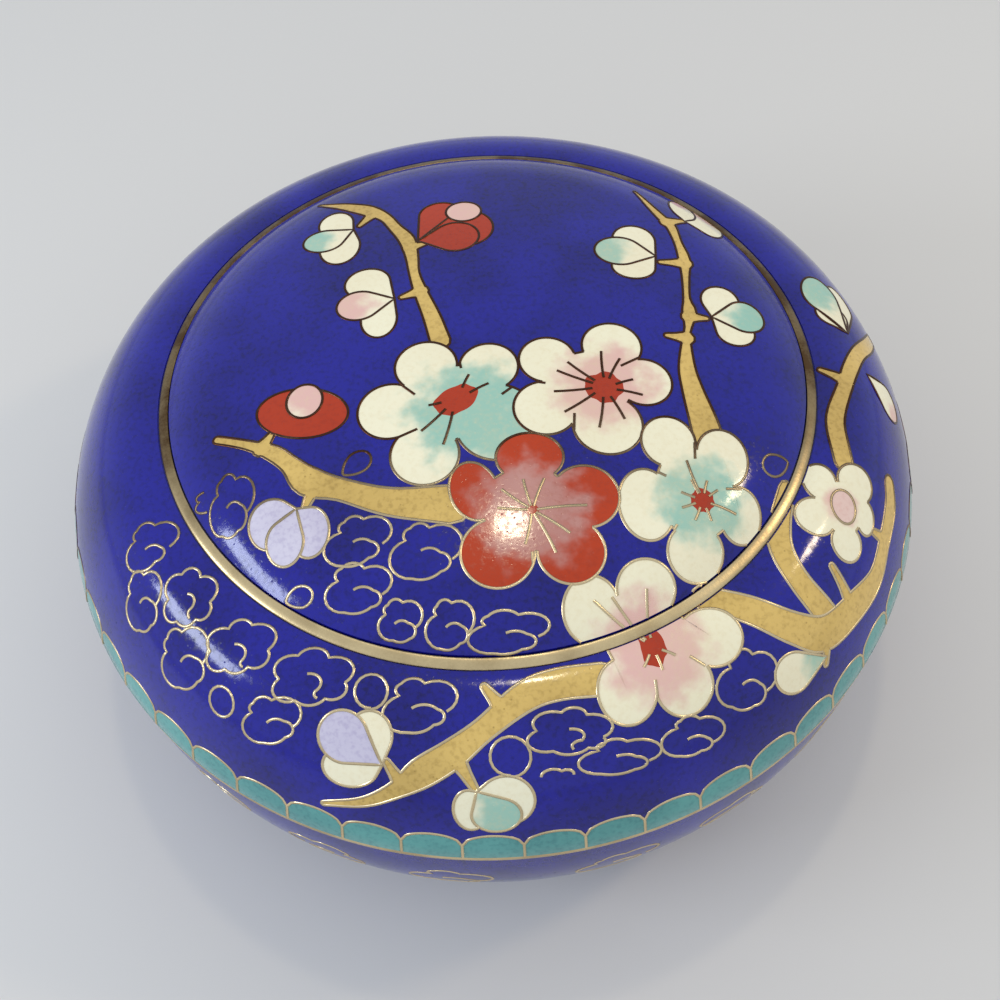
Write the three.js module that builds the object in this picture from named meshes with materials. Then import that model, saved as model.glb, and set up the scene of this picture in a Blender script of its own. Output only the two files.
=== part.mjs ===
// Round cloisonné enamel box with a lift-off lid.
// Millimetres, +Z up, origin at the centre of the foot ring's underside.
// Every piece is a solid of revolution about Z. Metal pieces are brass; the
// lid and bowl are spun copper with fused enamel on both faces, so each is a
// hollow shell of one true wall thickness.

import * as THREE from 'three';

// Driving dimensions
const LID_RADIUS = 50; // outer edge of the lid's brass rim
const SEAM_HEIGHT = 27.4; // land on which the lid rests, above the table
const RING_RADIUS = 35.8; // middle of the brass band round the crown
const RING_RISE = 14.6; // valley that holds the band, above the seam
const WALL = 1.8; // copper with enamel on both faces
const JOINT_GAP = 0.1; // solder line between two pieces
const SEGMENTS = 60; // facets round the axis

// Crown: a shallow dome that rolls over a tighter edge down to the band
const CROWN_ROLL_RADIUS = 14;
const CROWN_DOME_SLOPE = THREE.MathUtils.degToRad(10);
const CROWN_EDGE_SLOPE = THREE.MathUtils.degToRad(45);
const DOME_STEPS = 3;
const ROLL_STEPS = 4;

// Shoulder: leaves the band rising a little, then rounds over to the rim
const SHOULDER_RISE_ANGLE = THREE.MathUtils.degToRad(9);
const SHOULDER_TOP_HANDLE = 9.7;
const SHOULDER_RIM_HANDLE = 0.8;
const SHOULDER_STEPS = 8;

// Brass band set in a groove round the crown
const BAND_WIDTH = 1.2;
const BAND_SINK = 0.7; // depth of the groove
const BAND_STAND = 0.35; // height of the band above the valley

// Brass rims of the lid and of the bowl
const RIM_THICKNESS = 1.0;
const COLLAR_RADIUS = 46.9; // outside of the collar that centres the lid
const COLLAR_WALL = 0.9;
const COLLAR_HEIGHT = 2.5;
const COLLAR_CLEARANCE = 0.3;
const COLLAR_LEAD = 0.3; // chamfer that guides the lid on

// Bowl: sides nearly upright below the rim, then rounding under to a flat base
const BOWL_MOUTH_RADIUS = 49.6;
const BOWL_SIDE_FLARE = 1.4;
const BOWL_SIDE_HANDLE = 15.5;
const BOWL_TURN_RADIUS = 44;
const BOWL_TURN_RISE = 0.3;
const BOWL_BASE_RADIUS = 29.5;
const BOWL_STEPS = 9;

// Foot ring soldered under the bowl
const FOOT_HEIGHT = 2.6;
const FOOT_INNER_RADIUS = 26.8;
const FOOT_TOP_RADIUS = 28.2;
const FOOT_BOTTOM_RADIUS = 28.8;

const point = (radius, height) => new THREE.Vector2(radius, height);

const material = (color, roughness, metalness) =>
  new THREE.MeshStandardMaterial({ color, roughness, metalness });

const cobaltEnamel = () => material(0x14147a, 0.22, 0);
const giltBrass = () => material(0xb49a64, 0.35, 1);

// Points along an arc, given by its centre, its radius and two angles from +Z
function arc(centre, radius, from, to, steps) {
  return Array.from({ length: steps + 1 }, (_, i) => {
    const angle = from + ((to - from) * i) / steps;
    return point(centre.x + radius * Math.sin(angle), centre.y + radius * Math.cos(angle));
  });
}

const bezier = (start, startHandle, endHandle, end, steps) =>
  new THREE.CubicBezierCurve(start, startHandle, endHandle, end).getPoints(steps);

// A profile moved sideways, to the right of its own direction, with mitred corners
function offset(profile, distance) {
  const normals = profile.slice(1).map((end, i) => {
    const along = end.clone().sub(profile[i]).normalize();
    return point(along.y, -along.x);
  });
  return profile.map((corner, i) => {
    const before = normals[Math.max(i - 1, 0)];
    const after = normals[Math.min(i, normals.length - 1)];
    const mitre = before.clone().add(after).normalize();
    return corner.clone().addScaledVector(mitre, distance / mitre.dot(after));
  });
}

// A solid of revolution from a profile that runs from axis to axis, or round a
// closed loop, with the solid on the right of its direction
function revolve(name, profile, finish) {
  const geometry = new THREE.LatheGeometry(profile.toReversed(), SEGMENTS);
  geometry.rotateX(Math.PI / 2);
  const mesh = new THREE.Mesh(geometry, finish);
  mesh.name = name;
  return mesh;
}

const ring = (name, corners, finish) => revolve(name, [...corners, corners[0].clone()], finish);

// Outside of the crown, from the axis down to the valley
function crownProfile(valleyHeight) {
  const rollStart = RING_RADIUS
    - CROWN_ROLL_RADIUS * (Math.sin(CROWN_EDGE_SLOPE) - Math.sin(CROWN_DOME_SLOPE));
  const domeRadius = rollStart / Math.sin(CROWN_DOME_SLOPE);
  const rollCentre = point(
    RING_RADIUS - CROWN_ROLL_RADIUS * Math.sin(CROWN_EDGE_SLOPE),
    valleyHeight - CROWN_ROLL_RADIUS * Math.cos(CROWN_EDGE_SLOPE),
  );
  const rollTop = rollCentre.y + CROWN_ROLL_RADIUS * Math.cos(CROWN_DOME_SLOPE);
  const domeCentre = point(0, rollTop - domeRadius * Math.cos(CROWN_DOME_SLOPE));
  return [
    ...arc(domeCentre, domeRadius, 0, CROWN_DOME_SLOPE, DOME_STEPS),
    ...arc(rollCentre, CROWN_ROLL_RADIUS, CROWN_DOME_SLOPE, CROWN_EDGE_SLOPE, ROLL_STEPS).slice(1),
  ];
}

// Outside of the shoulder, from the valley down to the lid's rim
function shoulderProfile(valleyHeight, rimTop) {
  const valley = point(RING_RADIUS, valleyHeight);
  const rise = point(Math.cos(SHOULDER_RISE_ANGLE), Math.sin(SHOULDER_RISE_ANGLE));
  return bezier(
    valley,
    valley.clone().addScaledVector(rise, SHOULDER_TOP_HANDLE),
    point(LID_RADIUS, rimTop + SHOULDER_RIM_HANDLE),
    point(LID_RADIUS, rimTop),
    SHOULDER_STEPS,
  );
}

// Points where the groove's walls cut a profile, and the groove's floor
function withGroove(crown, shoulder, halfWidth, depth) {
  const valley = crown.at(-1);
  const inner = RING_RADIUS - halfWidth;
  const outer = RING_RADIUS + halfWidth;
  const heightAt = (profile, radius) => {
    const i = profile.findIndex((p, n) => n > 0 && p.x >= radius);
    const [a, b] = [profile[i - 1], profile[i]];
    return a.y + ((b.y - a.y) * (radius - a.x)) / (b.x - a.x);
  };
  const floor = valley.y - depth;
  return [
    ...crown.filter((p) => p.x < inner),
    point(inner, heightAt(crown, inner)),
    point(inner, floor),
    point(outer, floor),
    point(outer, heightAt(shoulder, outer)),
    ...shoulder.filter((p) => p.x > outer),
  ];
}

const valleyHeight = SEAM_HEIGHT + RING_RISE;
const lidRimBottom = SEAM_HEIGHT + JOINT_GAP;
const lidRimTop = lidRimBottom + RIM_THICKNESS;
const lidShellBottom = lidRimTop + JOINT_GAP;
const bowlRimBottom = SEAM_HEIGHT - RIM_THICKNESS;
const bowlShellTop = bowlRimBottom - JOINT_GAP;
const collarInner = COLLAR_RADIUS - COLLAR_WALL;

function lidShell() {
  const crown = crownProfile(valleyHeight);
  const shoulder = shoulderProfile(valleyHeight, lidShellBottom);
  const inside = offset([...crown, ...shoulder.slice(1)], WALL);
  inside[0].x = 0;
  inside.at(-1).y = lidShellBottom;
  const outside = withGroove(crown, shoulder, BAND_WIDTH / 2 + JOINT_GAP, BAND_SINK);
  return revolve('lid_shell', [...outside, ...inside.reverse()], cobaltEnamel());
}

function crownBand() {
  const bottom = valleyHeight - BAND_SINK + JOINT_GAP;
  const top = valleyHeight + BAND_STAND;
  const inner = RING_RADIUS - BAND_WIDTH / 2;
  const outer = RING_RADIUS + BAND_WIDTH / 2;
  const crest = point(RING_RADIUS, top + BAND_WIDTH / 8);
  return ring(
    'crown_band',
    [point(inner, bottom), point(inner, top), crest, point(outer, top), point(outer, bottom)],
    giltBrass(),
  );
}

function lidRim() {
  const inner = COLLAR_RADIUS + COLLAR_CLEARANCE;
  return ring(
    'lid_rim',
    [
      point(inner, lidRimBottom),
      point(inner, lidRimTop),
      point(LID_RADIUS, lidRimTop),
      point(LID_RADIUS, lidRimBottom),
    ],
    giltBrass(),
  );
}

function bowlRim() {
  const collarTop = SEAM_HEIGHT + COLLAR_HEIGHT;
  return ring(
    'bowl_rim',
    [
      point(collarInner, bowlRimBottom),
      point(collarInner, collarTop),
      point(COLLAR_RADIUS - COLLAR_LEAD, collarTop),
      point(COLLAR_RADIUS, collarTop - COLLAR_LEAD),
      point(COLLAR_RADIUS, SEAM_HEIGHT),
      point(BOWL_MOUTH_RADIUS, SEAM_HEIGHT),
      point(BOWL_MOUTH_RADIUS, bowlRimBottom),
    ],
    giltBrass(),
  );
}

function bowlShell() {
  const side = bezier(
    point(BOWL_MOUTH_RADIUS, bowlShellTop),
    point(BOWL_MOUTH_RADIUS + BOWL_SIDE_FLARE, bowlShellTop - BOWL_SIDE_HANDLE),
    point(BOWL_TURN_RADIUS, FOOT_HEIGHT + BOWL_TURN_RISE),
    point(BOWL_BASE_RADIUS, FOOT_HEIGHT),
    BOWL_STEPS,
  );
  const outside = [...side, point(0, FOOT_HEIGHT)];
  const inside = offset(outside, WALL).reverse();
  inside[0].x = 0;
  inside.at(-1).y = bowlShellTop;
  return revolve('bowl_shell', [...inside, ...outside], cobaltEnamel());
}

function footRing() {
  const top = FOOT_HEIGHT - JOINT_GAP;
  return ring(
    'foot_ring',
    [
      point(FOOT_INNER_RADIUS, 0),
      point(FOOT_INNER_RADIUS, top),
      point(FOOT_TOP_RADIUS, top),
      point(FOOT_BOTTOM_RADIUS, 0),
    ],
    giltBrass(),
  );
}

const lid = new THREE.Group();
lid.add(lidShell(), crownBand(), lidRim());

const base = new THREE.Group();
base.add(bowlShell(), bowlRim(), footRing());

const box = new THREE.Group();
box.add(base, lid);

export default box;
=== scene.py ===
"""Round cloisonné enamel box with a lift-off lid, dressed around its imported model.

The lid and the bowl are enamelled copper shells. Their patterns are drawn in a flattened
plane, in millimetres, where the distance from the middle is the length along the metal.
The drawing is cut into cells of coloured enamel that lie flush with each other, and gilt
wires stand along the edges of the cells. Brass rings edge both shells.
"""

import logging
import math
import random
from dataclasses import dataclass, field
from enum import Enum
from functools import cached_property
from typing import Any, Iterable, Sequence

import bpy
import numpy as np
from mathutils import Color, Matrix, Vector
from mathutils.geometry import delaunay_2d_cdt
from mathutils.kdtree import KDTree


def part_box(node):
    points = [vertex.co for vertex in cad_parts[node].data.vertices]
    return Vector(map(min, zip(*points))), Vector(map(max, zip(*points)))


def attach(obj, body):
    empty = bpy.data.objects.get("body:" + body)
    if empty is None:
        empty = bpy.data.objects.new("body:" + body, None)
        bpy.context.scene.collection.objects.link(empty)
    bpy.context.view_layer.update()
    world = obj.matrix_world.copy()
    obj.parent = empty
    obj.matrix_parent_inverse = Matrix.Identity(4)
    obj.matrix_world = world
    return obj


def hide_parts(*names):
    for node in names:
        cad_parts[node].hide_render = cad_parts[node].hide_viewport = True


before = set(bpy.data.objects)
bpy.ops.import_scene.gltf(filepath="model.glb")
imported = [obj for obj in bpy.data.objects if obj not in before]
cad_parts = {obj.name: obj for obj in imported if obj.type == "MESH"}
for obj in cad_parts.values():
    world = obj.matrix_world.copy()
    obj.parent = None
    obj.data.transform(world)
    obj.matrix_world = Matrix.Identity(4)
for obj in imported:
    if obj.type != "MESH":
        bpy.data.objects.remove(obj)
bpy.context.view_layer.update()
log = logging.getLogger("enamel_box")

MM = 0.001
BODY = "root"
TURN = 2.0 * math.pi
UNWASHED = 3.0  # bleed of a place that the second colour never reaches
BORDER_TOLERANCE = 0.02  # millimetres between a border circle and its vertices
LONGEST_CUT = 0.49  # of a side, so that two corners never meet
ROUND_PULL = 0.55  # of a cut corner, where a Bezier curve comes close to a circle
STRAIGHT = 0.05  # radians; a flatter arc of a cloud is drawn as a line

Point = tuple[float, float]
Stretch = list[Point]
Colour = tuple[float, float, float, float]


# ---------------------------------------------------------------- shader helpers


class Field:
    """A node socket that can be used in arithmetic; each operation adds a Math node."""

    def __init__(self, material: "Recipe", socket: bpy.types.NodeSocket) -> None:
        """Wrap a socket of a material's tree."""
        self.material = material
        self.socket = socket

    def _math(self, operation: str, *terms: Any) -> "Field":
        """Add a Math node that works on these terms."""
        settings = {"operation": operation}
        return self.material.node("ShaderNodeMath", settings, dict(enumerate(terms)))

    def __add__(self, other: Any) -> "Field":
        """Self + other."""
        return self._math("ADD", self, other)

    __radd__ = __add__

    def __sub__(self, other: Any) -> "Field":
        """Self - other."""
        return self._math("SUBTRACT", self, other)

    def __rsub__(self, other: Any) -> "Field":
        """Other - self."""
        return self._math("SUBTRACT", other, self)

    def __mul__(self, other: Any) -> "Field":
        """Self * other."""
        return self._math("MULTIPLY", self, other)

    __rmul__ = __mul__

    def step(self, low: float, high: float) -> "Field":
        """A smooth rise from 0 at low to 1 at high."""
        return self.material.node(
            "ShaderNodeMapRange",
            {"interpolation_type": "SMOOTHSTEP"},
            {"Value": self, "From Min": low, "From Max": high},
        )


class Recipe:
    """A material under construction, with its Principled shader."""

    def __init__(self, name: str) -> None:
        """Start an empty node tree that ends in a Principled shader."""
        self.material = bpy.data.materials.new(name)
        self.material.use_nodes = True
        self.tree = self.material.node_tree
        self.tree.nodes.clear()
        self.shader = self.tree.nodes.new("ShaderNodeBsdfPrincipled")
        output = self.tree.nodes.new("ShaderNodeOutputMaterial")
        self.tree.links.new(self.shader.outputs[0], output.inputs["Surface"])
        self.place = self.node("ShaderNodeTexCoord", output="Object")

    def node(
        self,
        kind: str,
        settings: dict[str, Any] | None = None,
        inputs: dict[str | int, Any] | None = None,
        output: str | int = 0,
    ) -> Field:
        """Add any node to the tree.

        Args:
            kind: the node's type name.
            settings: its properties, set before its sockets are filled.
            inputs: values or Fields for its sockets, by name or number.
            output: the output socket that is returned.

        Returns:
            The chosen output as a Field.
        """
        made = self.tree.nodes.new(kind)
        for key, value in (settings or {}).items():
            setattr(made, key, value)
        for key, value in (inputs or {}).items():
            self.fill(made.inputs[key], value)
        return Field(self, made.outputs[output])

    def fill(self, socket: bpy.types.NodeSocket, value: Any) -> None:
        """Link a Field to a socket, or set its value."""
        if isinstance(value, Field):
            self.tree.links.new(value.socket, socket)
        else:
            socket.default_value = value

    def noise(self, size: float, detail: float = 2.0, shift: float = 0.0) -> Field:
        """Noise whose blotches are about this many millimetres across."""
        ends = {0: self.place, 1: (shift * MM, 0.0, 0.0)}
        where = self.node("ShaderNodeVectorMath", {"operation": "ADD"}, ends)
        return self.node(
            "ShaderNodeTexNoise",
            inputs={"Vector": where, "Scale": 1.0 / (size * MM), "Detail": detail},
            output="Fac",
        )

    def cells(self, size: float) -> Field:
        """Distance to the nearest of scattered points about this many millimetres apart."""
        return self.node(
            "ShaderNodeTexVoronoi",
            inputs={"Vector": self.place, "Scale": 1.0 / (size * MM)},
            output="Distance",
        )

    def attribute(self, name: str) -> Field:
        """A number stored on the mesh."""
        return self.node("ShaderNodeAttribute", {"attribute_name": name}, output="Fac")

    def mix(self, factor: Any, below: Any, above: Any) -> Field:
        """A colour between two others."""
        ends = {0: factor, 6: below, 7: above}
        return self.node("ShaderNodeMix", {"data_type": "RGBA"}, ends, output=2)

    def bump(self, height: Field, depth: float) -> Field:
        """A normal disturbed by a height, whose full swing is depth in millimetres."""
        inputs = {"Height": height, "Distance": depth * MM, "Strength": 1.0}
        return self.node("ShaderNodeBump", inputs=inputs)

    def dress(self, **sockets: Any) -> bpy.types.Material:
        """Fill the Principled shader's sockets.

        Args:
            sockets: values or Fields by socket name, with _ for each space.

        Returns:
            The finished material.
        """
        for key, value in sockets.items():
            self.fill(self.shader.inputs[key.replace("_", " ")], value)
        return self.material


def paint(*seen: int) -> Colour:
    """A colour as seen (red, green, blue, 0 to 255) as the shader's linear values."""
    return (*Color([part / 255 for part in seen]).from_srgb_to_scene_linear(), 1.0)


# ---------------------------------------------------------------- finishes


@dataclass(frozen=True)
class BrassFinish:
    """Gilt brass, tarnished in random blotches, with painted shade that darkens it towards the
    back (y in millimetres).
    """

    name: str
    bright: Colour
    dull: Colour
    darkening: float
    roughness: float
    scratch: float
    back_shade: float
    shade_start_y: float
    shade_full_y: float
    blotch_share: float = 0.55
    grain_share: float = 0.5
    roughening: float = 0.22
    blotch_size: float = 5.0
    grain_size: float = 0.25

    def make(self) -> bpy.types.Material:
        """Build the material."""
        recipe = Recipe(self.name)
        blotches = recipe.noise(self.blotch_size, 4.0).step(0.35, 0.7)
        grain = recipe.noise(self.grain_size, 3.0, 7.0)
        depth = recipe.node("ShaderNodeSeparateXYZ", inputs={0: recipe.place}, output="Y")
        # Painted shade: the brass darkens from the front to the back, along y.
        back_shading = depth.step(self.shade_start_y * MM, self.shade_full_y * MM)
        marks = self.blotch_share * blotches + self.grain_share * grain
        # Random tarnishing from the marks, plus the painted shade at the back.
        darkening = self.darkening * marks + self.back_shade * back_shading
        return recipe.dress(
            Base_Color=recipe.mix(darkening, self.bright, self.dull),
            Metallic=1.0,
            Roughness=self.roughness + self.roughening * blotches * grain,
            Normal=recipe.bump(grain, self.scratch),
        )


# Last three numbers: strength of the painted shade at the back, and the y where it starts and
# where it is full.
GILT = BrassFinish("gilt_brass", paint(236, 212, 162), paint(92, 70, 46), 0.5, 0.3, 0.01, 0.7,
                   -30.0, 0.0)
WIRE = BrassFinish("gilt_wire", paint(236, 214, 170), paint(78, 50, 36), 0.35, 0.25, 0.004, 0.9,
                   -27.0, -9.0)


# ---------------------------------------------------------------- turned pieces


def arc(centre: Point, radius: float, start: float, end: float, steps: int) -> Stretch:
    """Points along an arc of a half section.

    Args:
        centre: its centre, as radius and height.
        radius: its radius.
        start: first angle from straight up, in degrees.
        end: last angle.
        steps: number of segments.

    Returns:
        The points, in order.
    """
    angles = np.radians(np.linspace(start, end, steps + 1))
    return [(centre[0] + radius * math.sin(a), centre[1] + radius * math.cos(a)) for a in angles]


def bezier(start: Point, out: Point, back: Point, end: Point, steps: int) -> Stretch:
    """Points along a cubic Bezier curve with these four control points."""
    t = np.linspace(0.0, 1.0, steps + 1)[:, None]
    a, b, c, d = (np.array(p, float) for p in (start, out, back, end))
    curve = (1 - t) ** 3 * a + 3 * (1 - t) ** 2 * t * b + 3 * (1 - t) * t**2 * c + t**3 * d
    return [tuple(p) for p in curve]


def normals_of(stretch: Sequence[Point]) -> np.ndarray:
    """Unit normals on the left of a smooth run of points."""
    along = np.gradient(np.array(stretch, float), axis=0)
    left = np.stack([-along[:, 1], along[:, 0]], 1)
    return left / np.linalg.norm(left, axis=1)[:, None]


def rounded(corners: Sequence[Point], bevel: float, steps: int = 3) -> Stretch:
    """A closed loop with each corner cut back and rounded.

    Args:
        corners: the loop's corners, as radius and height.
        bevel: how far each corner is cut back.
        steps: segments in each round.

    Returns:
        The loop's points, without repeating the first.
    """
    loop: Stretch = []
    for i, corner in enumerate(corners):
        here = Vector(corner)
        before = Vector(corners[i - 1]) - here
        after = Vector(corners[(i + 1) % len(corners)]) - here
        start, end = (
            here + side.normalized() * min(bevel, side.length * LONGEST_CUT)
            for side in (before, after)
        )
        loop += bezier(tuple(start), tuple(start.lerp(here, ROUND_PULL)),
                       tuple(end.lerp(here, ROUND_PULL)), tuple(end), steps)
    return loop


def add_object(name: str, data: bpy.types.ID) -> bpy.types.Object:
    """A new object at the origin, linked to the scene."""
    made = bpy.data.objects.new(name, data)
    bpy.context.collection.objects.link(made)
    return made


def mesh_object(name: str, vertices: Any, faces: Sequence[Sequence[int]]) -> bpy.types.Object:
    """A new smooth-shaded object at the origin.

    Args:
        name: the piece's name.
        vertices: points in millimetres.
        faces: vertex numbers of each face.

    Returns:
        The object, linked to the scene.
    """
    mesh = bpy.data.meshes.new(name)
    mesh.from_pydata((np.array(vertices, float) * MM).tolist(), [], faces)
    mesh.shade_smooth()
    return add_object(name, mesh)


def turned_ring(name: str, loop: Stretch, segments: int = 288) -> bpy.types.Object:
    """A ring turned about the axis from a closed section that runs counterclockwise.

    Args:
        name: the piece's name.
        loop: points of the section, as radius and height, radius to the right.
        segments: facets round the axis.

    Returns:
        The ring, with its faces pointing out.
    """
    count = len(loop)
    turns = TURN * np.arange(segments) / segments
    vertices = spin(np.tile(loop, (segments, 1)), np.repeat(turns, count))
    starts = np.arange(segments) * count
    faces = [
        (here + i, there + i, there + (i + 1) % count, here + (i + 1) % count)
        for here, there in zip(starts.tolist(), np.roll(starts, -1).tolist())
        for i in range(count)
    ]
    return mesh_object(name, vertices, faces)


def spin(section: np.ndarray, angle: np.ndarray) -> np.ndarray:
    """Section points (radius, height) turned to their angles."""
    return np.column_stack([polar(section[:, 0], angle), section[:, 1]])


def polar(distance: Any, angle: Any) -> np.ndarray:
    """Points of a plane from their distances and angles."""
    return np.stack([distance * np.cos(angle), distance * np.sin(angle)], -1)


def polar_of(plane: np.ndarray) -> tuple[np.ndarray, np.ndarray]:
    """Distances and angles of points of a plane."""
    return np.hypot(plane[..., 0], plane[..., 1]), np.arctan2(plane[..., 1], plane[..., 0])


def finish_piece(
    piece: bpy.types.Object, materials: Iterable[bpy.types.Material], slot: str, *nodes: str
) -> None:
    """Give a piece its materials and hand it to the frame.

    Args:
        piece: the finished object.
        materials: its material slots, in order; none if it has them already.
        slot: the record's material slot; not used.
        nodes: the CAD nodes that it stands for.
    """
    for material in materials:
        piece.data.materials.append(material)
    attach(piece, BODY)
    if nodes:
        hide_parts(*nodes)
    log.info("%s: %d faces", piece.name, len(piece.data.polygons))


@dataclass
class BrassRings:
    """The turned brass: band round the crown, both rims and the foot, with their edges eased.

    Each ring's method has the ring's name. It takes the outer radius, bottom and top of its
    CAD node and gives the corners of the section.
    """

    band_width: float = 1.2
    band_worn: float = 0.36
    band_slope: float = 0.2
    collar_wall: float = 0.9
    collar_radius: float = 46.9
    collar_clearance: float = 0.3
    seam: float = 0.1
    foot_inner: float = 26.8
    foot_top: float = 28.2
    ease: float = 0.22

    def build(self) -> None:
        """Make the four rings."""
        gilt = GILT.make()
        for shape in (self.crown_band, self.lid_rim, self.bowl_rim, self.foot_ring):
            name = shape.__name__
            ring = turned_ring(f"{name}_brass", rounded(shape(*self.span(name)), self.ease))
            finish_piece(ring, [gilt], "gilt_brass", name)

    def span(self, node: str) -> tuple[float, float, float]:
        """Outer radius, bottom and top of a CAD ring, in millimetres."""
        low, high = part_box(node)
        return high.x / MM, low.z / MM, high.z / MM

    def crown_band(self, outer: float, bottom: float, crest: float) -> Stretch:
        """Section of the band; its top slopes from the crown's flank down to the shoulder."""
        inner, slope = outer - self.band_width, self.band_slope * self.band_worn
        middle = (inner + outer) / 2
        return [(inner, bottom), (outer, bottom), (outer, crest - self.band_worn),
                (middle, crest - slope), (inner, crest + slope)]

    def lid_rim(self, outer: float, bottom: float, top: float) -> Stretch:
        """Section of the lid's rim."""
        inner = self.collar_radius + self.collar_clearance
        return [(inner, bottom), (outer, bottom), (outer, top), (inner, top)]

    def bowl_rim(self, outer: float, bottom: float, top: float) -> Stretch:
        """Section of the bowl's rim with the collar that centres the lid."""
        land = self.span("lid_rim")[1] - self.seam
        collar, inner = self.collar_radius, self.collar_radius - self.collar_wall
        return [(inner, bottom), (outer, bottom), (outer, land), (collar, land), (collar, top),
                (inner, top)]

    def foot_ring(self, outer: float, bottom: float, top: float) -> Stretch:
        """Section of the foot ring, a little wider at the bottom."""
        inner = self.foot_inner
        return [(inner, bottom), (outer, bottom), (self.foot_top, top), (inner, top)]


# ---------------------------------------------------------------- flattened surfaces


class Surface:
    """The outside of a turned shell, laid out flat.

    A point of the flat plane lies at the same angle on the shell, and its distance from
    the middle is the length along the metal from the axis.
    """

    def __init__(self, section: Sequence[Point], outside: float) -> None:
        """Measure a half section.

        Args:
            section: points from the axis to the mouth, as radius and height.
            outside: 1 if the outside is on the left of the section, -1 if on the right.
        """
        self.section, self.outside = list(section), outside
        self.points = np.array(section, float)
        steps = np.hypot(*np.diff(self.points, axis=0).T)
        self.along = np.concatenate([[0.0], np.cumsum(steps)])
        self.slopes = normals_of(section) * outside
        self.slopes[0] = (0.0, outside)

    @property
    def length(self) -> float:
        """Length along the metal from the axis to the mouth."""
        return float(self.along[-1])

    def reach(self, radius: float) -> float:
        """Flat distance of the first place that has this radius."""
        past = int(np.argmax(self.points[:, 0] >= radius))
        before = self.points[past - 1, 0]
        share = (radius - before) / (self.points[past, 0] - before)
        return float(self.along[past - 1] + share * (self.along[past] - self.along[past - 1]))

    def section_at(self, flat: np.ndarray) -> tuple[np.ndarray, np.ndarray]:
        """Radius and height, and the slope of the normal, at flat distances."""
        place = [np.interp(flat, self.along, self.points[:, k]) for k in (0, 1)]
        slope = [np.interp(flat, self.along, self.slopes[:, k]) for k in (0, 1)]
        return np.stack(place, -1), np.stack(slope, -1)

    def lift(self, plane: np.ndarray) -> tuple[np.ndarray, np.ndarray]:
        """Places and normals on the shell of points of the plane."""
        flat, angle = polar_of(plane)
        place, slope = self.section_at(flat)
        return spin(place, angle), spin(slope, angle)


@dataclass
class LidSection:
    """The lid's half section: a shallow dome, a tighter roll to the band, and the shoulder."""

    ring_radius: float = 35.8
    crest_over_valley: float = 0.5
    roll_radius: float = 14.0
    dome_slope: float = 10.0
    edge_slope: float = 45.0
    rise_angle: float = 9.0
    top_handle: float = 9.7
    rim_handle: float = 0.8
    groove_half: float = 0.7
    crown_steps: int = 48
    roll_steps: int = 16
    shoulder_steps: int = 64

    @cached_property
    def valley(self) -> float:
        """Height of the valley that holds the band."""
        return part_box("crown_band")[1].z / MM - self.crest_over_valley

    @cached_property
    def mouth(self) -> Point:
        """Outer radius and height of the enamel's lower edge."""
        low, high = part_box("lid_shell")
        return high.x / MM, low.z / MM

    def outside(self) -> Stretch:
        """Points from the axis to the mouth."""
        dome, edge = math.radians(self.dome_slope), math.radians(self.edge_slope)
        start = self.ring_radius - self.roll_radius * (math.sin(edge) - math.sin(dome))
        dome_radius = start / math.sin(dome)
        centre = (
            self.ring_radius - self.roll_radius * math.sin(edge),
            self.valley - self.roll_radius * math.cos(edge),
        )
        top = centre[1] + self.roll_radius * math.cos(dome) - dome_radius * math.cos(dome)
        crown = arc((0.0, top), dome_radius, 0.0, self.dome_slope, self.crown_steps)
        roll = arc(centre, self.roll_radius, self.dome_slope, self.edge_slope, self.roll_steps)
        foot = np.array((self.ring_radius, self.valley))
        handle = polar(self.top_handle, math.radians(self.rise_angle))
        rim_radius, rim_height = self.mouth
        above_rim = (rim_radius, rim_height + self.rim_handle)
        shoulder = bezier(foot, foot + handle, above_rim, self.mouth, self.shoulder_steps)
        return crown + roll[1:] + shoulder[1:]


@dataclass
class BowlSection:
    """The bowl's half section: a flat base, a round turn and nearly upright sides."""

    side_flare: float = 1.4
    side_handle: float = 15.5
    turn_radius: float = 44.0
    turn_rise: float = 0.3
    base_radius: float = 29.5
    base_steps: int = 19
    side_steps: int = 72
    mouth_radius: float = 49.6

    def outside(self) -> Stretch:
        """Points from the axis to the mouth."""
        low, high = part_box("bowl_shell")
        base, mouth = low.z / MM, high.z / MM
        side = bezier(
            (self.base_radius, base),
            (self.turn_radius, base + self.turn_rise),
            (self.mouth_radius + self.side_flare, mouth - self.side_handle),
            (self.mouth_radius, mouth),
            self.side_steps,
        )
        radii = np.linspace(0.0, self.base_radius, self.base_steps + 1)[:-1]
        return [(r, base) for r in radii] + side


def inset(surface: Surface, wall: float, step: int) -> Stretch:
    """The inside of a shell's half section, from the mouth back to the axis.

    Args:
        surface: the shell's outside.
        wall: thickness of the metal with its enamel.
        step: every how many points of the section one is kept.

    Returns:
        Points from the mouth to the axis.
    """
    kept = [*surface.section[:-1:step], surface.section[-1]]
    inner = np.array(kept) - normals_of(kept) * surface.outside * wall
    inner[0, 0] = 0.0
    inner[-1, 1] = kept[-1][1]
    return [tuple(p) for p in inner[::-1]]


# ---------------------------------------------------------------- enamel shells


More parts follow.
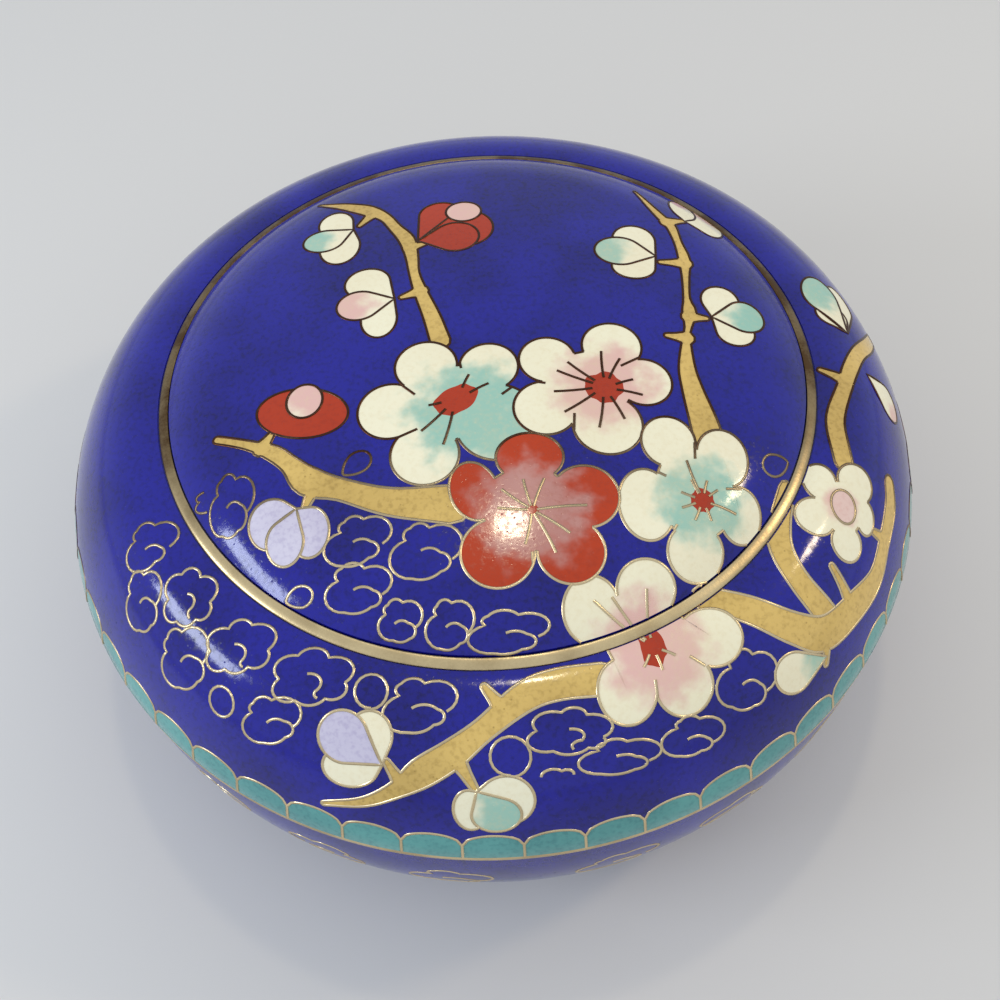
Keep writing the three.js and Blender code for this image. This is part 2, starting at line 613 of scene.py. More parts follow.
class ShellMesh:
    """Triangles of one closed shell, with the true normal at each corner."""

    def __init__(self) -> None:
        """Start with no vertices."""
        self.places: list[np.ndarray] = []
        self.angles: list[np.ndarray] = []
        self.count = 0
        self.faces: list[np.ndarray] = []
        self.slopes: list[np.ndarray] = []
        self.paints: list[np.ndarray] = []
        self.bleeds: list[np.ndarray] = []

    def add_points(self, section: np.ndarray, angle: np.ndarray) -> np.ndarray:
        """Add vertices at section points and angles, and return their numbers."""
        self.places.append(spin(section, angle))
        self.angles.append(angle)
        self.count += len(angle)
        return np.arange(self.count - len(angle), self.count)

    def add_loop(self, place: Point, angle: np.ndarray) -> np.ndarray:
        """Add a circle of vertices at one radius and height."""
        return self.add_points(np.tile(place, (len(angle), 1)), angle)

    def add_faces(self, faces: np.ndarray, slopes: np.ndarray, paint_index: np.ndarray | int,
                  bleed: np.ndarray | None = None) -> None:
        """Add triangles.

        Args:
            faces: three vertex numbers each.
            slopes: the section's normal (out, up) at each corner.
            paint_index: material slot, one for all or one each.
            bleed: each corner's distance from the heart of its wash, over the wash's reach.
        """
        self.faces.append(faces)
        self.slopes.append(slopes)
        self.paints.append(np.broadcast_to(paint_index, len(faces)))
        self.bleeds.append(np.full((len(faces), 3), UNWASHED) if bleed is None else bleed)

    def join(
        self, first: np.ndarray, second: np.ndarray, slopes: Sequence[Point], paint_index: int
    ) -> None:
        """Zip two circles of vertices together, each in order of angle.

        Args:
            first: vertex numbers of one circle.
            second: vertex numbers of the other.
            slopes: the normal (out, up) at the first circle and at the second.
            paint_index: material slot.
        """
        angle = np.concatenate(self.angles)
        rings = [first, second]
        turns = [np.append(angle[ring], angle[ring[0]] + TURN) for ring in rings]
        at = [0, 0]
        faces, corners = [], []
        while at[0] < len(first) or at[1] < len(second):
            ends = [turns[k][at[k] + 1] if at[k] < len(rings[k]) else math.inf for k in (0, 1)]
            k = int(ends[1] < ends[0])
            here, other = rings[k], rings[1 - k]
            if len(here) > 1:
                following = here[(at[k] + 1) % len(here)]
                faces.append((here[at[k]], following, other[at[1 - k] % len(other)]))
                corners.append((slopes[k], slopes[k], slopes[1 - k]))
            at[k] += 1
        self.add_faces(np.array(faces), np.array(corners, float), paint_index)

    def make(self, name: str) -> bpy.types.Object:
        """Turn it into an object, with custom normals and the bleed at each corner."""
        faces = np.concatenate(self.faces)
        slopes = np.concatenate(self.slopes)
        bleed = np.concatenate(self.bleeds)
        places = np.concatenate(self.places)
        angles = np.concatenate(self.angles)[faces]
        normals = np.concatenate([polar(slopes[..., 0], angles), slopes[..., 1:]], -1)
        a, b, c = (places[faces[:, k]] for k in range(3))
        facing = np.einsum("ij,ij->i", np.cross(b - a, c - a), normals.sum(1))
        turned = facing < 0
        for corners in (faces, normals, bleed):
            corners[turned] = corners[turned][:, ::-1]
        piece = mesh_object(name, places, faces.tolist())
        mesh = piece.data
        mesh.polygons.foreach_set("material_index", np.concatenate(self.paints).astype(np.int32))
        stored = mesh.attributes.new("bleed", "FLOAT", "CORNER")
        stored.data.foreach_set("value", bleed.ravel().astype(np.float32))
        mesh.normals_split_custom_set(normals.reshape(-1, 3).tolist())
        return piece


# ---------------------------------------------------------------- the drawing


class Enamel(Enum):
    """The colours of glass, in the order of the shells' material slots."""

    COBALT = 0
    OCHRE = 1
    CREAM_TURQUOISE = 2
    CREAM_PINK = 3
    RED_MAUVE = 4
    RED = 5
    TURQUOISE = 6
    LAVENDER = 7
    COUNTER = 8
    PALE_PINK = 9


@dataclass(frozen=True)
class Oval:
    """An ellipse of the drawing, in millimetres, turned by some degrees."""

    x: float
    y: float
    rx: float
    ry: float = 0.0
    turn: float = 0.0

    def outline(self, step: float = 0.42) -> np.ndarray:
        """Its edge as a closed polygon."""
        rx, ry = self.rx, self.ry or self.rx
        count = max(12, round(TURN * (rx + ry) / 2 / step))
        around = polar(1.0, np.arange(count) / count * TURN)
        return turned(around * (rx, ry), self.turn) + (self.x, self.y)


def turned(points: np.ndarray, degrees: float) -> np.ndarray:
    """Points of the plane turned counterclockwise about its middle."""
    across, up = polar(1.0, math.radians(degrees))
    return points @ np.array([[across, up], [-up, across]])


def inside(points: np.ndarray, polygon: np.ndarray) -> np.ndarray:
    """Which points lie inside a closed polygon, by its winding number."""
    low, high = polygon.min(0), polygon.max(0)
    near = np.flatnonzero(np.all((points > low) & (points < high), axis=1))
    found = np.zeros(len(points), bool)
    if not len(near):
        return found
    x, y = points[near].T
    ax, ay = polygon.T
    bx, by = np.roll(polygon, -1, 0).T
    side = (bx - ax) * (y[:, None] - ay) - (x[:, None] - ax) * (by - ay)
    up = (ay <= y[:, None]) & (by > y[:, None]) & (side > 0)
    down = (ay > y[:, None]) & (by <= y[:, None]) & (side < 0)
    found[near] = up.sum(1) != down.sum(1)
    return found


@dataclass
class Cell:
    """An area of one enamel: the union of its outlines.

    A second colour bleeds out from its heart to about the given reach.
    """

    enamel: Enamel
    outlines: list[np.ndarray]
    heart: Point = (0.0, 0.0)
    reach: float = 0.0

    def covers(self, points: np.ndarray) -> np.ndarray:
        """Which points lie in the cell."""
        found = np.zeros(len(points), bool)
        for outline in self.outlines:
            found |= inside(points, outline)
        return found


@dataclass
class Wire:
    """A bent wire: its path, which cell it is drawn with, and the outline it follows."""

    path: np.ndarray
    layer: int
    member: int = -1
    closed: bool = False


@dataclass
class Drawing:
    """The pattern of one shell, drawn from the back to the front."""

    surface: Surface
    gaps: list[Point] = field(default_factory=list)
    cells: list[Cell] = field(default_factory=list)
    wires: list[Wire] = field(default_factory=list)
    pitch: float = 1.35
    spacing: float = 0.4
    border_step: float = 0.9
    longest: float = 0.8
    finest: float = 0.1
    weld: float = 1e-4
    mouth_margin: float = 0.05

    def lay(self, cell: Cell, edged: bool = True) -> None:
        """Lay a cell over those before it, with wires along its edge."""
        self.cells.append(cell)
        for member, outline in enumerate(cell.outlines if edged else ()):
            self.wires.append(Wire(outline, len(self.cells) - 1, member, closed=True))

    def line(self, path: Sequence[Point], behind: bool = False) -> None:
        """Lay a loose wire on top of the cells so far, or behind them all."""
        layer = -1 if behind else len(self.cells) - 1
        self.wires.append(Wire(np.array(path, float), layer))

    def hidden(self, points: np.ndarray, wire: Wire) -> np.ndarray:
        """Which points of a wire are covered by a later cell, the band or its own union."""
        found = np.zeros(len(points), bool)
        for cell in self.cells[wire.layer + 1:]:
            found |= cell.covers(points)
        if wire.member >= 0:
            for member, outline in enumerate(self.cells[wire.layer].outlines):
                if member != wire.member:
                    found |= inside(points, outline)
        flat, _ = polar_of(points)
        for low, high in self.gaps:
            found |= (flat > low) & (flat < high)
        return found | (flat > self.surface.length - self.mouth_margin)

    def stretches(self) -> list[tuple[np.ndarray, bool]]:
        """The parts of the wires that show, each with whether it closes on itself."""
        shown = []
        for wire in self.wires:
            path = np.vstack([wire.path, wire.path[:1]]) if wire.closed else wire.path
            fine, kept = densify(densify(path, self.longest)[0], self.finest)
            seen = ~self.hidden((fine[:-1] + fine[1:]) / 2, wire)
            if wire.closed and seen.all():
                shown.append((fine[:-1][kept[:-1]], True))
                continue
            if wire.closed:
                start = int(np.argmin(seen))
                seen = np.roll(seen, -start)
                fine = np.vstack([np.roll(fine[:-1], -start, 0), fine[start]])
                kept = np.append(np.roll(kept[:-1], -start), True)
            edges = np.flatnonzero(np.diff(np.concatenate([[0], seen.astype(int), [0]])))
            for first, last in zip(edges[::2], edges[1::2]):
                if last - first > 2:
                    marks = kept[first:last + 1].copy()
                    marks[[0, -1]] = True
                    shown.append((fine[first:last + 1][marks], False))
        return shown

    def cut(self) -> tuple[np.ndarray, np.ndarray, np.ndarray, np.ndarray]:
        """Cut the plane into triangles along every outline.

        Returns:
            Points of the plane, triangles, the material slot of each triangle, and the
            bleed at each of its corners.
        """
        points, edges = [], []

        def add_closed(outline: np.ndarray) -> None:
            base = len(points)
            points.extend(outline.tolist())
            count = len(outline)
            edges.extend((base + i, base + (i + 1) % count) for i in range(count))

        borders = [edge for gap in self.gaps for edge in gap] + [self.surface.length]
        for radius in borders:
            add_closed(Oval(0.0, 0.0, radius).outline(self.border_step))
        for cell in self.cells:
            for outline in cell.outlines:
                add_closed(outline)
        tree = KDTree(len(points))
        for i, point in enumerate(points):
            tree.insert((*point, 0.0), i)
        tree.balance()
        for radius in np.arange(self.pitch, self.surface.length, self.pitch):
            count = max(6, round(TURN * radius / self.pitch))
            angles = (np.arange(count) + radius / self.pitch % 2 / 2) / count * TURN
            for spot in polar(radius, angles).tolist():
                if tree.find((*spot, 0.0))[2] > self.spacing * self.pitch:
                    points.append(spot)
        points.append([0.0, 0.0])
        vectors = [Vector(point) for point in points]
        flat, _, faces, *_ = delaunay_2d_cdt(vectors, edges, [], 0, self.weld, False)
        plane, faces = np.array(list(map(tuple, flat))), np.array(faces)
        middles = plane[faces].mean(1)
        distance, _ = polar_of(middles)
        kept = distance < self.surface.length
        for low, high in self.gaps:
            kept &= (distance < low) | (distance > high)
        faces, middles = faces[kept], middles[kept]
        slots = np.full(len(faces), Enamel.COBALT.value)
        bleed = np.full((len(faces), 3), UNWASHED)
        for cell in self.cells:
            here = cell.covers(middles)
            slots[here] = cell.enamel.value
            bleed[here] = UNWASHED
            if cell.reach:
                bleed[here] = polar_of(plane[faces[here]] - np.array(cell.heart))[0] / cell.reach
        return plane, faces, slots, bleed


def densify(path: np.ndarray, step: float) -> tuple[np.ndarray, np.ndarray]:
    """A path with extra points wherever two neighbours are further apart than step.

    Args:
        path: the points.
        step: the longest distance left between two neighbours.

    Returns:
        The points, and which of them were in the path before.
    """
    points, own = [path[:1]], [True]
    for a, b in zip(path[:-1], path[1:]):
        count = max(1, math.ceil(float(np.hypot(*(b - a))) / step))
        points.append(a + (b - a) * (np.arange(1, count + 1) / count)[:, None])
        own += [False] * (count - 1) + [True]
    return np.concatenate(points), np.array(own)


def border_loop(faces: np.ndarray, plane: np.ndarray, radius: float) -> np.ndarray:
    """Vertices of the cut plane on one border circle, in order of angle."""
    sides = np.sort(np.concatenate([faces[:, pair] for pair in ([0, 1], [1, 2], [2, 0])]), axis=1)
    unique, uses = np.unique(sides, axis=0, return_counts=True)
    rim = np.unique(unique[uses == 1])
    flat, angles = polar_of(plane[rim])
    here = np.abs(flat - radius) < BORDER_TOLERANCE
    return rim[here][np.argsort(angles[here])]


@dataclass
class EnamelShell:
    """One enamelled shell: its drawing on the outside, plain counter-enamel inside."""

    name: str
    drawing: Drawing
    wall: float = 1.8
    groove_depth: float = 0.7
    inside_step: int = 4
    inside_segments: int = 192

    def build(self, enamels: Sequence[bpy.types.Material]) -> None:
        """Make the closed shell and hand it over."""
        shell, surface = ShellMesh(), self.drawing.surface
        plane, faces, slots, bleed = self.drawing.cut()
        flat, angle = polar_of(plane)
        place, slope = surface.section_at(flat)
        numbers = shell.add_points(place, angle)
        shell.add_faces(numbers[faces], slope[faces], slots, bleed)
        for low, high in self.drawing.gaps:
            self.cut_groove(shell, *(border_loop(faces, plane, r) for r in (low, high)))
        self.line_inside(shell, border_loop(faces, plane, surface.length))
        finish_piece(shell.make(f"{self.name}_enamel"), enamels, "cobalt_enamel",
                     f"{self.name}_shell")

    def cut_groove(self, shell: ShellMesh, inner: np.ndarray, outer: np.ndarray) -> None:
        """Add the groove that holds the brass band."""
        places, angles = np.concatenate(shell.places), np.concatenate(shell.angles)
        floor = places[inner, 2].min() - self.groove_depth
        low = [shell.add_loop((np.hypot(*places[ring[0], :2]), floor), angles[ring])
               for ring in (inner, outer)]
        loops = (inner, *low, outer)
        for first, second, facing in zip(loops, loops[1:], ((1.0, 0.0), (0.0, 1.0), (-1.0, 0.0))):
            shell.join(first, second, [facing] * 2, Enamel.COBALT.value)

    def line_inside(self, shell: ShellMesh, mouth: np.ndarray) -> None:
        """Add the mouth's edge and the counter-enamel."""
        outside = self.drawing.surface.outside
        section = inset(self.drawing.surface, self.wall, self.inside_step)
        slopes = -normals_of(section[::-1])[::-1] * outside
        slopes[-1] = (0.0, -outside)
        angles = np.arange(self.inside_segments) / self.inside_segments * TURN - TURN / 2
        counter = Enamel.COUNTER.value
        rows = [shell.add_loop(point, angles) for point in section[:-1]]
        shell.join(mouth, rows[0], [(0.0, -outside)] * 2, Enamel.COBALT.value)
        for i, (row, following) in enumerate(zip(rows, rows[1:])):
            shell.join(row, following, [slopes[i], slopes[i + 1]], counter)
        pole = shell.add_loop(section[-1], angles[:1])
        shell.join(rows[-1], pole, [slopes[-2], slopes[-1]], counter)


# ---------------------------------------------------------------- motifs


@dataclass(frozen=True)
class Blossom:
    """An open plum blossom: one lobed cell, washed with a second colour from the middle."""

    enamel: Enamel
    petals: tuple[Oval, ...]
    heart: Oval
    wash: float
    stamens: tuple[Point, ...]
    notches: tuple[tuple[Point, Point], ...] = ()
    heart_enamel: Enamel = Enamel.RED
    lean: Point = (0.0, 0.0)
    drawn_out: float = 0.2
    lobe_width: float = 0.3
    stamen_start: float = 0.75
    longest_start: float = 0.6

    def draw(self, drawing: Drawing) -> None:
        """Lay the petals, then the heart, then the stamens over both."""
        middle = np.array((self.heart.x, self.heart.y))
        hubs = np.array([(petal.x, petal.y) for petal in self.petals])
        body = hubs[np.argsort(polar_of(hubs - hubs.mean(0))[1])]
        lobes = [petal.outline() for petal in self.petals]
        flower = Cell(self.enamel, [*lobes, body], tuple(middle + self.lean), self.wash)
        drawing.lay(flower)
        ringed = self.heart_enamel is not Enamel.RED
        drawing.lay(Cell(self.heart_enamel, [self.ragged_heart()]), edged=ringed)
        for outer, inner in self.notches:
            course = np.linspace(outer, inner, 16)
            drawing.line(course[flower.covers(course)])
        for tip in self.stamens:
            reach = np.array(tip) - middle
            share = min(self.longest_start, self.stamen_start * self.heart.rx / np.hypot(*reach))
            drawing.line(bowed(middle + reach * share, tip))

    def ragged_heart(self) -> np.ndarray:
        """The heart's outline, drawn out a little towards each stamen."""
        outline = self.heart.outline(0.2)
        offset = outline - (self.heart.x, self.heart.y)
        _, angle = polar_of(offset)
        drawn = np.ones(len(outline))
        for x, y in self.stamens:
            apart = angle - math.atan2(y - self.heart.y, x - self.heart.x)
            apart = (apart + math.pi) % TURN - math.pi
            drawn += self.drawn_out * np.exp(-((apart / self.lobe_width) ** 2))
        return outline + offset * (drawn - 1)[:, None]


def bowed(start: Point, end: Point, share: float = 0.02, steps: int = 5) -> np.ndarray:
    """A gently bowed path between two points."""
    a, b = np.array(start), np.array(end)
    side = np.array([a[1] - b[1], b[0] - a[0]]) * share
    t = np.linspace(0.0, 1.0, steps)[:, None]
    return a + (b - a) * t + side * 4 * t * (1 - t)


@dataclass(frozen=True)
class Petal(Oval):
    """One petal of a bud; the second colour washes it from its tip, or from the joint."""

    enamel: Enamel = Enamel.CREAM_TURQUOISE
    wash: float = 0.0
    from_joint: bool = False
    pointed: bool = True


@dataclass(frozen=True)
class Bud:
    """A closed blossom on its stem: pointed petals run together at the joint, back to front."""

    joint: Point
    petals: tuple[Petal, ...]

    def draw(self, drawing: Drawing) -> None:
        """Lay the petals."""
        joint = np.array(self.joint, float)
        for petal in self.petals:
            outline = petal.outline()
            tip = outline[int(np.argmax(polar_of(outline - joint)[0]))]
            heart = joint if petal.from_joint else tip
            if petal.pointed:
                outline = drawn_to(outline, joint)
            drawing.lay(Cell(petal.enamel, [outline], tuple(heart), petal.wash))


def drawn_to(outline: np.ndarray, point: np.ndarray) -> np.ndarray:
    """A counterclockwise outline drawn out to a point outside it, along its tangents."""
    along = np.roll(outline, -1, 0) - outline
    away = point - outline
    faces = along[:, 0] * away[:, 1] - along[:, 1] * away[:, 0] < 0
    if not faces.any():
        return outline
    first = int(np.flatnonzero(faces & ~np.roll(faces, 1))[0])
    turned, facing = np.roll(outline, -first, 0), np.roll(faces, -first)
    return np.vstack([turned[int(np.sum(facing)):], turned[:1], point])


@dataclass(frozen=True)
class Branch:
    """An old branch: a band of ochre along its spine (x, y, width), with short spurs."""

    spine: tuple[tuple[float, float, float], ...]
    spurs: tuple[Point, ...] = ()
    spur_root: float = 1.9
    spur_tip: float = 0.7
    spur_bend: float = 0.55
    spur_slimming: float = 2.4

    def draw(self, drawing: Drawing) -> None:
        """Lay the branch with its spurs as one cell."""
        spine = smooth_path(self.spine)
        outlines = [band_outline(spine)]
        for tip in self.spurs:
            nearest = spine[int(np.argmin(polar_of(spine[:, :2] - tip)[0])), :2]
            middle = nearest * (1 - self.spur_bend) + np.array(tip) * self.spur_bend
            waist = (self.spur_root + self.spur_tip) / self.spur_slimming
            widths = (self.spur_root, waist, self.spur_tip)
            outlines.append(band_outline(np.column_stack([(nearest, middle, tip), widths])))
        drawing.lay(Cell(Enamel.OCHRE, outlines))


def smooth_path(knots: Sequence[Sequence[float]], step: float = 0.9) -> np.ndarray:
    """A Catmull-Rom curve through knots of any dimension."""
    k = np.array(knots, float)
    k = np.vstack([2 * k[0] - k[1], k, 2 * k[-1] - k[-2]])
    curve = []
    for a, b, c, d in zip(k, k[1:], k[2:], k[3:]):
        count = max(2, math.ceil(float(np.hypot(*(c - b)[:2])) / step))
        for t in np.arange(count) / count:
            curve.append(0.5 * (2 * b + (c - a) * t + (2 * a - 5 * b + 4 * c - d) * t**2
                                + (3 * b - a - 3 * c + d) * t**3))
    return np.array([*curve, k[-2]])


def band_outline(spine: np.ndarray) -> np.ndarray:
    """The edge of a band with round ends, from its spine (x, y, width)."""
    along = np.gradient(spine[:, :2], axis=0)
    along /= np.hypot(*along.T)[:, None]
    side = np.stack([-along[:, 1], along[:, 0]], 1)
    half = spine[:, 2:3] / 2
    cap = np.radians(np.linspace(0, 180, 6)[1:-1])[:, None]
    end = spine[-1, :2] + half[-1] * (np.cos(cap) * -side[-1] + np.sin(cap) * along[-1])
    start = spine[0, :2] + half[0] * (np.cos(cap) * side[0] - np.sin(cap) * along[0])
    right, left = spine[:, :2] - side * half, spine[:, :2] + side * half
    return np.vstack([right, end, left[::-1], start])


class Curl(Enum):
    """The kinds of cloud wire: points (x, y, bulge) in a box from -1 to 1.

    Each point's bulge is the height of the arc to the next point, over its chord.
    """

    SCROLL = (
        (0.83, -0.32, 0.5), (0.2, 0.88, 0.3), (-0.52, 0.88, 0.3), (-0.62, 0.4, 0.45),
        (-0.45, -0.96, 0.15), (0.41, -0.84, 0.45), (0.5, -0.12, 0.2), (-0.17, -0.05, 0.0),
    )
    HOOKED = (
        (0.9, -0.25, 0.42), (0.45, 0.75, 0.4), (-0.35, 0.85, 0.4), (-0.95, 0.1, 0.45),
        (-0.6, -0.8, 0.25), (0.35, -0.85, 0.4), (0.9, -0.25, 0.0),
    )
    HOOK = ((-0.1, 0.15, -0.35), (0.15, -0.45, 0.3), (0.05, -0.8, 0.0))
    RING = ((0.0, -1.0, 0.5), (0.0, 1.0, 0.5), (0.0, -0.9, 0.0))
    DROP = ((-1.0, 0.0, 0.12), (0.1, -0.8, 0.5), (0.1, 0.8, 0.12), (-1.0, 0.0, 0.0))
    ARC = ((-1.0, -0.4, -0.35), (0.2, 0.1, -0.35), (1.0, -0.3, 0.0))


def lobed(points: Sequence[tuple[float, float, float]], steps: int = 9) -> np.ndarray:
    """A path of arcs that bulge to the right of its direction."""
    path = []
    for (ax, ay, bulge), (bx, by, _) in zip(points, points[1:]):
        half = 2 * math.atan(2 * bulge)
        for t in np.arange(steps) / steps:
            if abs(half) < STRAIGHT:
                along, across = t, 0.0
            else:
                turn = half * (2 * t - 1)
                along = 0.5 + math.sin(turn) / (2 * math.sin(half))
                across = (math.cos(turn) - math.cos(half)) / (2 * math.sin(half))
            path.append((ax + (bx - ax) * along + (by - ay) * across,
                         ay + (by - ay) * along - (bx - ax) * across))
    return np.array([*path, points[-1][:2]])


@dataclass(frozen=True)
class Cloud:
    """A cloud scroll bent from wire: where it lies, its width and height, and its kind."""

    x: float
    y: float
    width: float
    height: float
    kind: Curl = Curl.SCROLL
    turn: float = 0.0
    mirrored: bool = False
    unevenness: float = 0.08

    def paths(self, luck: random.Random) -> list[np.ndarray]:
        """Its wires around the origin, a little uneven as bent by hand."""
        kinds = [self.kind] + ([Curl.HOOK] if self.kind is Curl.HOOKED else [])
        size = np.array((-self.width if self.mirrored else self.width, self.height)) / 2
        wires = []
        for kind in kinds:
            points = [
                (x + luck.uniform(-self.unevenness, self.unevenness),
                 y + luck.uniform(-self.unevenness, self.unevenness), bulge)
                for x, y, bulge in kind.value
            ]
            if kind in (Curl.HOOKED, Curl.DROP):
                points[-1] = points[0]
            wires.append(turned(lobed(points) * size, self.turn))
        return wires

    def draw(self, drawing: Drawing, luck: random.Random) -> None:
        """Lay the wires behind every cell."""
        for path in self.paths(luck):
            drawing.line(path + (self.x, self.y), behind=True)


@dataclass(frozen=True)
class Scallops:
    """A row of turquoise scallops round a shell, from its edge to their tops."""

    count: int
    edge: float
    cusp: float
    top: float
    start: float = 0.0

    def draw(self, drawing: Drawing) -> None:
        """Lay the scallops with a wire over each and one between two."""
        share = np.linspace(-1.0, 1.0, 13)
        radius = self.cusp + (self.top - self.cusp) * np.sqrt(1 - share**2)
        middles = self.start + np.arange(self.count) * 360.0 / self.count
        turns = [np.radians(middle + share / 2 * 360.0 / self.count) for middle in middles]
        for angle in turns:
            outline = np.vstack([polar(radius, angle), polar(self.edge, angle)[::-3]])
            drawing.lay(Cell(Enamel.TURQUOISE, [outline]), edged=False)
        for angle in turns:
            drawing.line(polar(radius, angle))
            drawing.line(polar(np.array((self.cusp, self.edge)), angle[-1]))


# ---------------------------------------------------------------- patterns


PINK, RED, LILAC = Enamel.CREAM_PINK, Enamel.RED, Enamel.LAVENDER

BRANCHES = (
    Branch(((-4.6, -0.7, 2.2), (-5.5, 3, 1.9), (-6.7, 7, 1.5), (-7.4, 10, 1.2), (-7.7, 13, 1.5),
            (-8.3, 16, 1.9), (-9.7, 18.5, 1.5), (-11, 20.8, 1.5), (-13, 22.5, 2.0),
            (-15.5, 23.8, 1.5), (-18, 25, 0.8), (-19.5, 26, 0.4)),
           ((-6.2, 15), (-8.8, 6.3), (-14, 19.7))),
    Branch(((-4, -20.8, 4.2), (-10, -20, 3.0), (-15, -18.1, 2.4), (-18.3, -16.8, 3.2),
            (-20.3, -14.6, 2.0), (-22.2, -12.9, 1.8), (-25, -11.5, 1.1), (-28.5, -10.2, 0.9)),
           ((-18.6, -19.7), (-22.4, -10.5))),
    Branch(((19.5, 24.8, 0.4), (20.8, 21.5, 0.9), (22, 19, 1.2), (22.8, 17.5, 1.3),
            (23.2, 14.5, 1.0), (23.5, 11.5, 1.4), (23.2, 8.5, 0.9), (22.8, 5, 0.8),
            (22.8, 3, 1.6), (22.3, 0.5, 0.8), (21.9, -1, 0.9), (21.4, -5, 1.8),
            (21.6, -8, 2.3), (22.2, -12, 3.0), (22.5, -14.5, 3.2)),
           ((24.8, 19), (20.6, 10.8), (24.6, 2), (19.8, -0.7))),
    Branch(((50.5, 8, 1.6), (47, 4, 2.0), (44, 1, 2.0), (42, -2, 2.0), (40.5, -5, 1.8),
            (38.8, -8.5, 2.0), (38.2, -11, 2.1), (38.2, -15.3, 2.2)), ((38.2, -2.6),)),
    Branch(((31, -19, 2.2), (29.8, -22.5, 2.3), (29.4, -26, 2.4), (31, -29.5, 2.5),
            (35, -33, 3.0))),
    Branch(((20.5, -31, 2.6), (25, -32.4, 2.8), (30, -34, 3.2), (34.5, -34.2, 3.8),
            (39, -31, 3.6), (42.5, -27.5, 2.8), (44, -23, 2.3), (45.3, -19, 2.4),
            (45.3, -16, 2.0)), ((41.3, -22.5), (35.3, -37.4), (34.9, -27.3))),
    Branch(((9.8, -39, 3.1), (5.5, -39.3, 3.0), (2.2, -40.3, 2.8), (-1.9, -43.1, 2.2),
            (-5, -45.2, 2.8), (-8.4, -47, 3.0), (-11.2, -48.6, 1.8), (-15, -49.9, 1.1),
            (-19.8, -50, 0.5)), ((-1.7, -39.2), (-11.7, -45.6), (-3.2, -49))),
)

BUDS = (
    Bud((-14.7, 19.1), (Petal(-16.9, 20.6, 2.1, 2.3),
                        Petal(-16.2, 16.0, 2.4, 3.0),
                        Petal(-18.2, 17.6, 2.5, 2.0, wash=4.0))),
    Bud((-9.6, 6.2), (Petal(-12.7, 9.1, 2.6, 2.4),
                      Petal(-11.3, 3.3, 2.0, 2.7),
                      Petal(-13.6, 5.7, 2.5, 2.2, enamel=PINK, wash=4.6))),
    Bud((-7.0, 15.6), (Petal(-4.3, 20.2, 2.6, 2.5, enamel=RED),
                       Petal(-1.2, 17.4, 3.0, 3.2, enamel=RED),
                       Petal(-1.6, 20.6, 2.1, 1.9, enamel=PINK, wash=5.0, pointed=False),
                       Petal(-2.6, 15.9, 2.7, 2.6, enamel=RED))),
    Bud((-22.4, -10.5), (Petal(-19.3, -8.4, 5.0, 3.1, -12, enamel=RED),
                         Petal(-19.1, -6.9, 1.95, 2.15, enamel=PINK, wash=5.0, pointed=False))),
    Bud((-19.5, -19.7), (Petal(-22.1, -21.0, 2.5, 2.7, enamel=LILAC),
                         Petal(-18.1, -22.4, 2.0, 2.7, enamel=LILAC),
                         Petal(-20.7, -23.2, 2.0, 2.4, enamel=LILAC))),
    Bud((20.2, 11.8), (Petal(18.0, 14.6, 2.5, 2.6),
                       Petal(17.4, 9.9, 2.5, 2.0),
                       Petal(16.0, 12.6, 2.8, 2.4, wash=4.0))),
    Bud((24.8, 19), (Petal(28, 20.3, 2.2, 3.6, enamel=PINK, wash=3.0),
                     Petal(25.2, 22.3, 1.7, 2.8, enamel=PINK, wash=2.0))),
    Bud((25.2, 2.3), (Petal(26.6, 4.8, 2.2, 2.3),
                      Petal(27.6, 0.2, 2.2, 2.0),
                      Petal(29.1, 2.6, 2.3, 2.3, wash=4.6))),
    Bud((43.2, 3.8), (Petal(44.0, 9.8, 1.9, 3),
                      Petal(41.7, 6.4, 2.2, 2.0),
                      Petal(41, 9.7, 2.5, 3.2, wash=6.4))),
    Bud((44.4, -2.0), (Petal(48.3, -4.3, 2.3, 2.6, enamel=PINK, wash=2.5),)),
    Bud((35.2, -36.6), (Petal(30.6, -38.5, 2.7, 2.2, wash=3.6, from_joint=True),)),
    Bud((-12.2, -45.9), (Petal(-13.0, -42.9, 2.2, 2.3),
                         Petal(-15.6, -45.9, 3.0, 2.2),
                         Petal(-15.8, -42.9, 2.6, enamel=LILAC))),
    Bud((-3.1, -49.2), (Petal(-0.2, -50.5, 2.9, 2.8),
                        Petal(-4.0, -51.4, 1.7, 2.4),
                        Petal(-1.3, -52.1, 2.6, 2.1, wash=5.5))),
)

